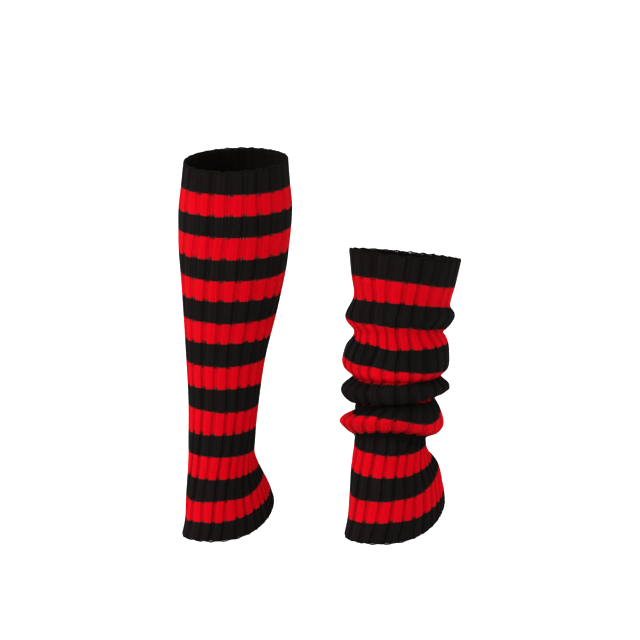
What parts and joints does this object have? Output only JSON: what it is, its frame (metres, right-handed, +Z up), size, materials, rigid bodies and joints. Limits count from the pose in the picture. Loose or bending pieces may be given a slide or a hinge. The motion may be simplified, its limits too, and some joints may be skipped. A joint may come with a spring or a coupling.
{
  "type": "pair of leg warmers",
  "caption": "Pair of striped rib-knit leg warmers in worn form, one pulled up smooth over a calf and one slouched in folds.",
  "frame": {"origin": "middle of the pulled-up leg warmer's top opening, where the calf holds it", "axes": "+Z up along the legs, +X from the pulled-up one to the slouched one, -Y towards the camera; toes point to -X and -Y"},
  "size_m": [0.2994, 0.1307, 0.4062],
  "materials": {
    "striped_rib_knit": "matt acrylic rib knit, black with red stripes"
  },
  "bodies": {
    "root": {"pulled_up_leg_warmer": "striped_rib_knit", "slouched_leg_warmer": "striped_rib_knit"}
  },
  "joints": []
}
